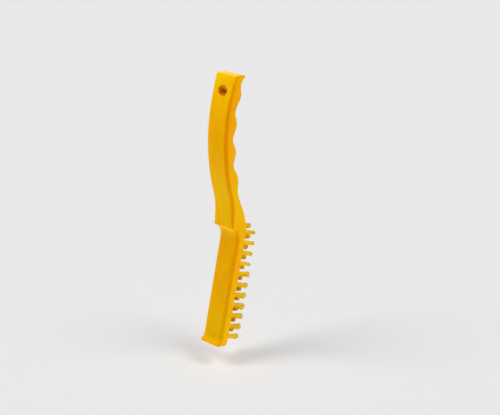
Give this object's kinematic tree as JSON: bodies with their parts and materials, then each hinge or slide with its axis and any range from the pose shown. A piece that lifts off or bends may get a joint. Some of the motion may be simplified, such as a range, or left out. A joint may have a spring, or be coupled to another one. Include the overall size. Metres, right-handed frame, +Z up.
{
  "type": "detailing brush",
  "caption": "Slim hand brush with a bowed, finger-grooved handle, a hang hole, a sunk tilted head with a toe lip, and rows of stiff bristle tufts.",
  "frame": {"origin": "centre of the hang hole, midway between the back and the finger side of the handle", "axes": "+Z up along the hanging brush, from the toe to the handle's end; X across the width, with the brush the same on both sides of X = 0; -Y towards the smooth back, +Y towards the finger grooves and the bristles"},
  "size_m": [0.0222, 0.0518, 0.231],
  "materials": {
    "stock_plastic": "semi-gloss moulded, yellow",
    "bristle_filament": "satin filament, slightly translucent yellow"
  },
  "bodies": {
    "root": {"brush_stock": "stock_plastic", "tuft_left_01": "bristle_filament", "tuft_left_02": "bristle_filament", "tuft_left_03": "bristle_filament", "tuft_left_04": "bristle_filament", "tuft_left_05": "bristle_filament", "tuft_left_06": "bristle_filament", "tuft_left_07": "bristle_filament", "tuft_left_08": "bristle_filament", "tuft_left_09": "bristle_filament", "tuft_left_10": "bristle_filament", "tuft_left_11": "bristle_filament", "tuft_middle_01": "bristle_filament", "tuft_middle_02": "bristle_filament", "tuft_middle_03": "bristle_filament", "tuft_middle_04": "bristle_filament", "tuft_middle_05": "bristle_filament", "tuft_middle_06": "bristle_filament", "tuft_middle_07": "bristle_filament", "tuft_middle_08": "bristle_filament", "tuft_middle_09": "bristle_filament", "tuft_middle_10": "bristle_filament", "tuft_middle_11": "bristle_filament", "tuft_right_01": "bristle_filament", "tuft_right_02": "bristle_filament", "tuft_right_03": "bristle_filament", "tuft_right_04": "bristle_filament", "tuft_right_05": "bristle_filament", "tuft_right_06": "bristle_filament", "tuft_right_07": "bristle_filament", "tuft_right_08": "bristle_filament", "tuft_right_09": "bristle_filament", "tuft_right_10": "bristle_filament", "tuft_right_11": "bristle_filament"}
  },
  "joints": []
}
